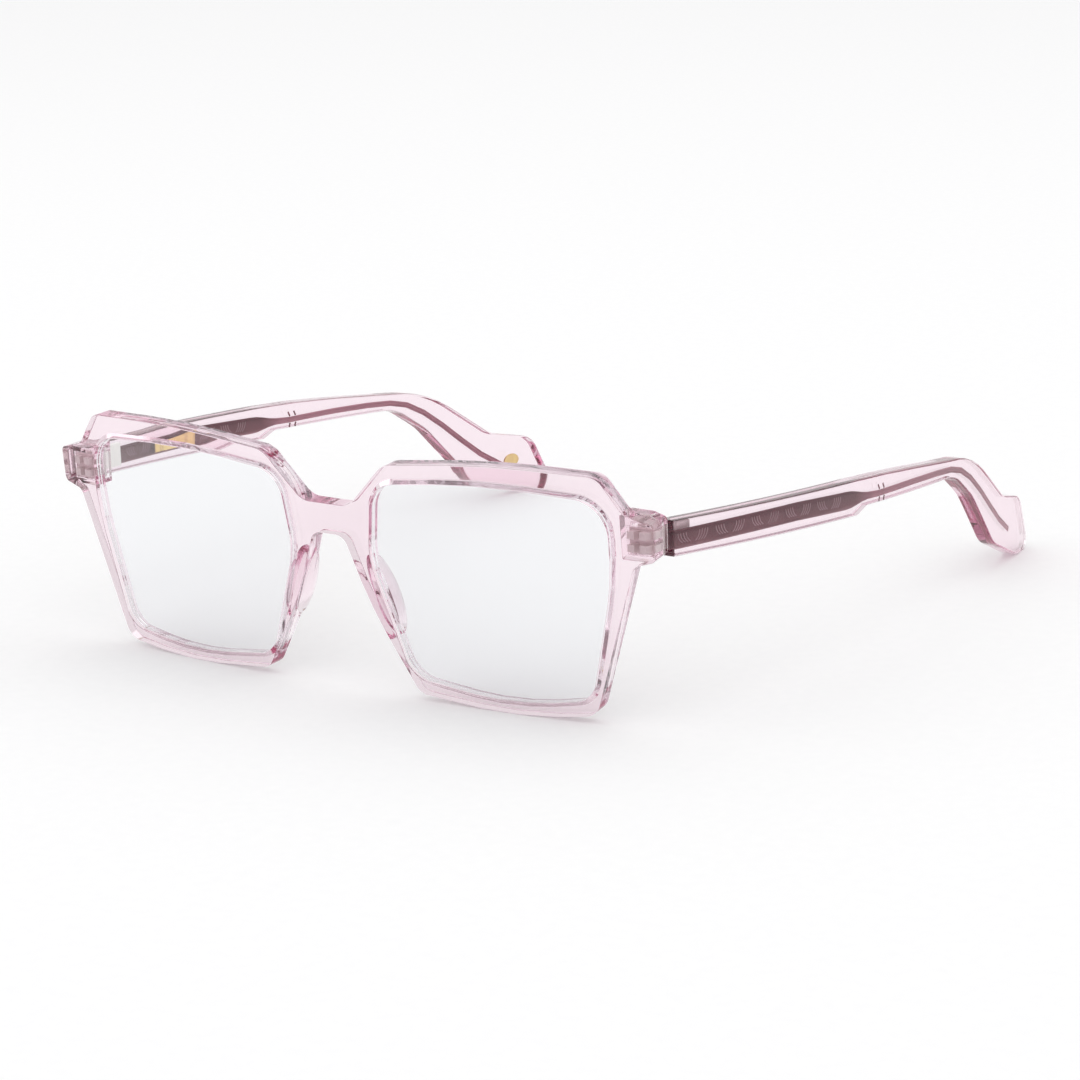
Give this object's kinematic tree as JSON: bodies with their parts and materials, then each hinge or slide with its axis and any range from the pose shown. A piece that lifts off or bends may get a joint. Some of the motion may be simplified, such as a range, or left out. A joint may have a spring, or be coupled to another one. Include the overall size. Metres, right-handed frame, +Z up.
{
  "type": "blue light glasses",
  "caption": "Clear rose acetate glasses with geometric rims, folding temples, engraved metal temple cores and small gilt inlays.",
  "frame": {"origin": "on the table, under the middle of the glasses with the temples open", "axes": "+Z up, +Y from the front to the ear tips, +X to the wearer's left"},
  "size_m": [0.1472, 0.1532, 0.0471],
  "materials": {
    "rose_acetate": "clear, polished, pale rose",
    "clear_lens": "clear with a very faint cool tint, coated",
    "hinge_steel": "polished nickel silver",
    "mauve_core": "brushed, engraved",
    "gold_inlay": "satin gilt"
  },
  "bodies": {
    "front": {"front_frame": "rose_acetate", "lens_left": "clear_lens", "nose_pad_left": "rose_acetate", "front_hinge_leaf_left": "hinge_steel", "hinge_screw_left": "hinge_steel", "lens_right": "clear_lens", "nose_pad_right": "rose_acetate", "front_hinge_leaf_right": "hinge_steel", "hinge_screw_right": "hinge_steel"},
    "left_temple": {"temple_hinge_leaf_left": "hinge_steel", "temple_left": "rose_acetate", "temple_core_left": "mauve_core"},
    "right_temple": {"temple_hinge_leaf_right": "hinge_steel", "temple_right": "rose_acetate", "temple_core_right": "mauve_core", "inlay_plate_right": "gold_inlay", "tip_inlay_right": "gold_inlay"}
  },
  "joints": [
    {"name": "fold_left", "type": "hinge", "parent": "front", "child": "left_temple", "pos_m": [0.0642, -0.06505, 0.035], "axis": [0, 0, 1], "range_deg": [0, 90]},
    {"name": "fold_right", "type": "hinge", "parent": "front", "child": "right_temple", "pos_m": [-0.0642, -0.06505, 0.035], "axis": [0, 0, -1], "range_deg": [0, 84]}
  ]
}
